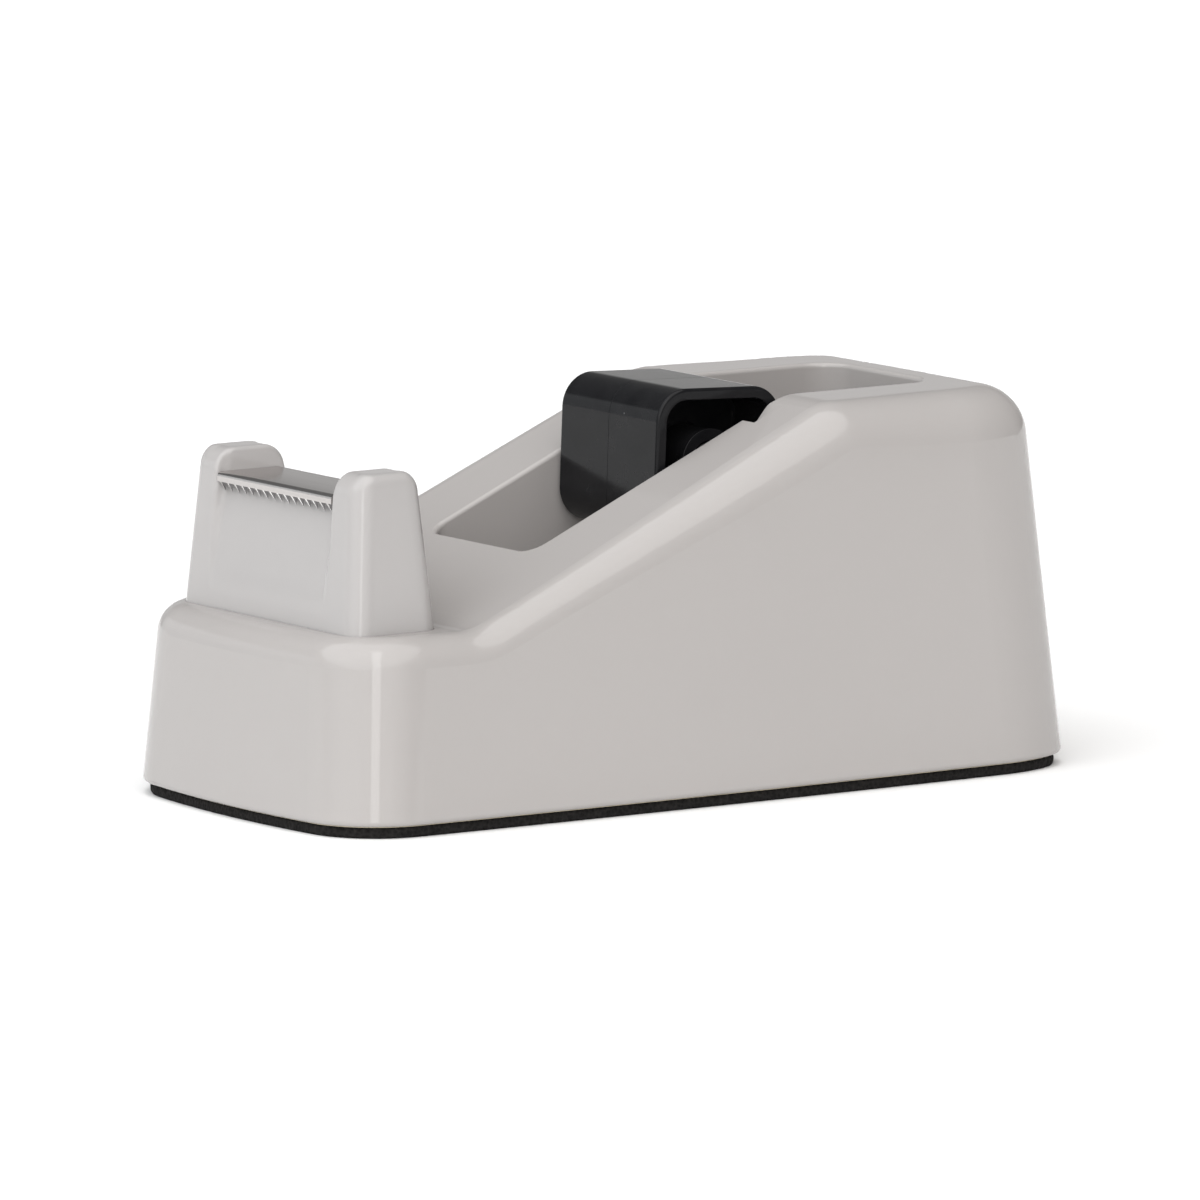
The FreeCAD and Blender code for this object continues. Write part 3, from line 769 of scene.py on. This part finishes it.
# %% Two cups from rings
def hub_half(name, sign):
    """One cup of the hub: sign -1 is the left one, 1 the right one."""
    half, corner, lip, hub_end = 10.25, 4.75, 0.45, 11.85
    wall, web, foot, inner_lip = 1.6, 2.4, 0.6, 0.2
    boss, boss_end, boss_foot, boss_lip = 4.4, 9.65, 0.3, 0.1
    bore, bore_bevel, pocket, pocket_end = 2.55, 0.25, 3.75, 1.05
    seam = 0.07
    inside, inside_corner = half - wall, corner - wall

    def round_ring(radius, x):
        return rounded_square(radius, radius, x)

    rings = [round_ring(pocket, 0.0),
             rounded_square(half - seam, corner - seam, 0.0),
             rounded_square(half - seam * 0.3, corner - seam * 0.3, seam * 0.3),
             rounded_square(half, corner, seam)]
    rings += rounding(half, corner, hub_end, lip, 0, 90)
    rings += rounding(inside, inside_corner, hub_end, inner_lip, 90, 0, 4, side=-1)
    foot_steps = 5
    for k in range(foot_steps + 1):
        a = math.radians(90 * k / foot_steps)
        into = foot * (1 - math.cos(a))
        rings.append(rounded_square(inside - into, inside_corner - into,
                                    web + foot * (1 - math.sin(a))))
    rings += [round_ring(boss + boss_foot, web), round_ring(boss, web + boss_foot)]
    rings += rounding(boss, boss, boss_end, boss_lip, 0, 90, 3)
    rings += [round_ring(bore + bore_bevel, boss_end),
              round_ring(bore, boss_end - bore_bevel),
              round_ring(bore, pocket_end), round_ring(pocket, pocket_end)]
    placed = []
    for ring in rings:
        flipped = [Vector((p.x * sign, p.y, p.z)) for p in ring]
        placed.append([hub_turn @ p + hub_middle for p in flipped])
    hub_crease = 35
    mesh = tidy_mesh(ring_mesh(name, placed, closed=True), hub_crease)
    return settled(mesh, name + "_maker", [even_light])


add_piece("hub_cup_left", hub_half("hub_cup_left", -1), "hub_plastic", "hub",
          ["hub_half_left"])
add_piece("hub_cup_right", hub_half("hub_cup_right", 1), "hub_plastic", "hub",
          ["hub_half_right"])

# %% [markdown]
# ## Foam pad
#
# The pad is die-cut from foam rubber sheet. The cut edge isn't straight: the sheet bulges
# a little between its two faces, and the open cells leave a rough line. So its outline
# is the shell's own outline, set in, with a crowned side and a small seeded roughness.

# %% The shell's outline
# Radii in mm of the arcs from the front to the back, and the angles where some of them
# meet, in degrees. The remaining angles follow from the shell's width and length.
front_bow, front_corner, rear_easing, rear_corner, back_bow = 166.0, 12.25, 22.4, 9.6, 600.0
front_turn, rear_turn, easing_turn = 2.0, 0.8, 23.4
shell_half, shell_length, shell_front = 31.5, 122.8, -61.4


def outline_arcs(half, span, thinning):
    """(radius, first normal angle, last) of the arcs of half the shell's outline."""
    r1, r2, r4 = front_bow - thinning, front_corner - thinning, rear_easing - thinning
    r5, r6 = rear_corner - thinning, back_bow - thinning
    a2, a3 = -math.radians(front_turn), math.radians(rear_turn)
    a4 = a3 + math.radians(easing_turn)
    long_side, rounds = 10 * span, 40
    for _ in range(rounds):
        a1 = -math.acos((half - long_side * (1 - math.cos(a2)) - r2 * math.cos(a2))
                        / (r1 - r2))
        back = half - long_side * (1 - math.cos(a3)) - r4 * (math.cos(a3) - math.cos(a4))
        a5 = math.acos((back - r5 * math.cos(a4)) / (r6 - r5))
        ends = r1 * (1 + math.sin(a1)) + r2 * (math.sin(a2) - math.sin(a1))
        ends += r4 * (math.sin(a4) - math.sin(a3)) + r5 * (math.sin(a5) - math.sin(a4))
        ends += r6 * (1 - math.sin(a5))
        long_side = (span - ends) / (math.sin(a3) - math.sin(a2))
    quarter = math.pi / 2
    return [(r1, -quarter, a1), (r2, a1, a2), (long_side, a2, a3), (r4, a3, a4),
            (r5, a4, a5), (r6, a5, quarter)]


def outline(inset, spacing):
    """Closed outline as (place, outward normal) pairs, set in from the rim, in mm."""
    place = Vector((0.0, shell_front + inset))
    pairs = []
    for radius, first, last in outline_arcs(shell_half - inset, shell_length - 2 * inset,
                                            inset):
        middle = place - Vector((math.cos(first), math.sin(first))) * radius
        steps = max(3, round(radius * (last - first) / spacing))
        for k in range(steps):
            a = first + (last - first) * k / steps
            out = Vector((math.cos(a), math.sin(a)))
            pairs.append((middle + out * radius, out))
        place = middle + Vector((math.cos(last), math.sin(last))) * radius
    mirrored = [(Vector((-p.x, p.y)), Vector((-n.x, n.y))) for p, n in reversed(pairs[1:])]
    return pairs + [(place, Vector((0.0, 1.0)))] + mirrored


print("outline has", len(outline(0.0, 1.0)), "points at 1 mm")


# %% Cut pad
def foam_mesh():
    """The pad: its outline at eight heights, crowned and roughened."""
    inset, spacing, thick, roughness = 1.15, 0.45, 1.55, 0.06
    crowns = ((0.0, -0.25), (0.04, -0.1), (0.2, 0.05), (0.4, 0.1), (0.6, 0.1), (0.8, 0.05),
              (0.96, -0.08), (1.0, -0.2))
    pairs = outline(inset, spacing)
    rings = []
    for share, crown in crowns:
        ring = []
        for place, out in pairs:
            sample = Vector((place.x * 1.9, place.y * 1.9, share * 3.1 + 7))
            spot = place + out * (crown + roughness * noise.noise(sample))
            ring.append(Vector((spot.x, spot.y, share * thick)) * mm)
        rings.append(ring)
    pad_crease = 60
    return tidy_mesh(ring_mesh("foam", rings, closed=False), pad_crease)


foam_piece = add_piece("foam_pad_cut", settled(foam_mesh(), "foam_maker", [even_light]),
                       "pad_foam", replaces=["foam_pad"])

# %% [markdown]
# ## Screws
#
# Twelve self-tapping screws hold the tower, the plate and the weights. Each has a head
# with a cross recess, a shank, and a thread of sharp ridges. One screw could be turned
# and copied by hand, but here Geometry Nodes build it once from its sizes and put it on
# every place, so all three sets share one rule.

# %% The screw's rule
def screw_rule(name, count):
    """Geometry Nodes group: a screw with its head down, on each point of its input."""
    graph, size, points = node_group(name, ["Length", "Head radius", "Head height",
                                            "Neck radius", "Core radius", "Ridge radius",
                                            "Recess width", "Recess depth"])
    point, gap_under_head, blunt_share, sunk_share = 0.6, 0.2, 0.3, 0.6

    def solid(kind, sockets, lift):
        made = graph.node(kind, {}, sockets)
        place = graph.node("ShaderNodeCombineXYZ", {}, {"Z": lift})
        return graph.node("GeometryNodeTransform", {}, {"Geometry": made,
                                                        "Translation": place})

    head = solid("GeometryNodeMeshCone", {
        "Vertices": 40, "Radius Bottom": size["Head radius"] * mm,
        "Radius Top": size["Neck radius"] * mm, "Depth": size["Head height"] * mm}, 0.0)
    bars = []
    for spin in (0.0, math.pi / 2):
        box = graph.node("ShaderNodeCombineXYZ", {}, {
            "X": size["Head radius"] * (1.15 * mm), "Y": size["Recess width"] * mm,
            "Z": size["Recess depth"] * (2.0 * mm)})
        cube = graph.node("GeometryNodeMeshCube", {}, {"Size": box})
        bars.append(graph.node("GeometryNodeTransform", {}, {
            "Geometry": cube, "Rotation": (0.0, 0.0, spin)}))
    cut = graph.tree.nodes.new("GeometryNodeMeshBoolean")
    cut.operation = "DIFFERENCE"
    cut.solver = "EXACT"
    graph.tree.links.new(head.socket, cut.inputs["Mesh 1"])
    for bar in bars:
        graph.tree.links.new(bar.socket, cut.inputs["Mesh 2"])
    threaded = size["Length"] - size["Head height"] - (point + gap_under_head)
    ridge_gap = threaded * (mm / count)
    start = graph.node("ShaderNodeCombineXYZ", {}, {
        "Z": (size["Head height"] + gap_under_head) * mm})
    step = graph.node("ShaderNodeCombineXYZ", {}, {"Z": ridge_gap})
    line = graph.node("GeometryNodeMeshLine", {}, {"Count": count, "Start Location": start,
                                                   "Offset": step})
    ridge = graph.node("GeometryNodeMeshCone", {}, {
        "Vertices": 32, "Radius Bottom": size["Ridge radius"] * mm,
        "Radius Top": size["Core radius"] * mm, "Depth": ridge_gap * 0.9})
    thread = graph.node("GeometryNodeInstanceOnPoints", {}, {"Points": line,
                                                             "Instance": ridge})
    shank = size["Length"] - point - size["Head height"] * sunk_share
    core = solid("GeometryNodeMeshCone", {
        "Vertices": 32, "Radius Bottom": size["Core radius"] * mm,
        "Radius Top": size["Core radius"] * mm, "Depth": shank * mm},
        size["Head height"] * (sunk_share * mm))
    tip = solid("GeometryNodeMeshCone", {
        "Vertices": 32, "Radius Bottom": size["Core radius"] * mm,
        "Radius Top": size["Core radius"] * (blunt_share * mm), "Depth": point * mm},
        (size["Length"] - point) * mm)
    parts = graph.node("GeometryNodeJoinGeometry")
    for part in (Value(graph, cut.outputs[0]), thread, core, tip):
        graph.tree.links.new(part.socket, parts.socket.node.inputs[0])
    screws = graph.node("GeometryNodeInstanceOnPoints", {}, {"Points": points,
                                                             "Instance": parts})
    close_group(graph, screws, "screw_steel")
    return graph


def add_screws(name, places, foot_z, sizes, count, node):
    """Puts a screw with count ridges on each (x, y) place, with its head at foot_z."""
    spots = bpy.data.meshes.new(name + "_places")
    spots.from_pydata([(px * mm, py * mm, foot_z * mm) for px, py in places], [], [])
    mesh = grown(screw_rule(name + "_rule", count), sizes, spots, name + "_maker")
    screw_crease = 35
    tidy_mesh(mesh, screw_crease)
    add_piece(name, mesh, "screw_steel", replaces=[node])


print("screw rule ready")

# %% Screws in their places
countersunk = {"Head radius": 2.45, "Head height": 1.45, "Neck radius": 1.15,
               "Core radius": 0.95, "Ridge radius": 1.28, "Recess width": 0.62,
               "Recess depth": 0.9}
pan_head = {**countersunk, "Head height": 1.5, "Neck radius": 2.2}
plate_face, tower_foot = 1.72, 22.82
base_places = [(sx * 20.5, sy * 54.0) for sx in (-1, 1) for sy in (-1, 1)]
ballast_places = [(sx * 22.525, py) for sx in (-1, 1) for py in (-2.4, 30.6)]
ballast_places += [(sx * 8.5, -36.65) for sx in (-1, 1)]
tower_places = [(sx * 17.45, -47.155) for sx in (-1, 1)]
add_screws("base_screw_set", base_places, plate_face, {**countersunk, "Length": 8.9}, 11,
           "base_screws")
add_screws("ballast_screw_set", ballast_places, plate_face, {**countersunk, "Length": 6.4},
           7, "ballast_screws")
add_screws("tower_screw_set", tower_places, tower_foot, {**pan_head, "Length": 9.4}, 12,
           "tower_screws")
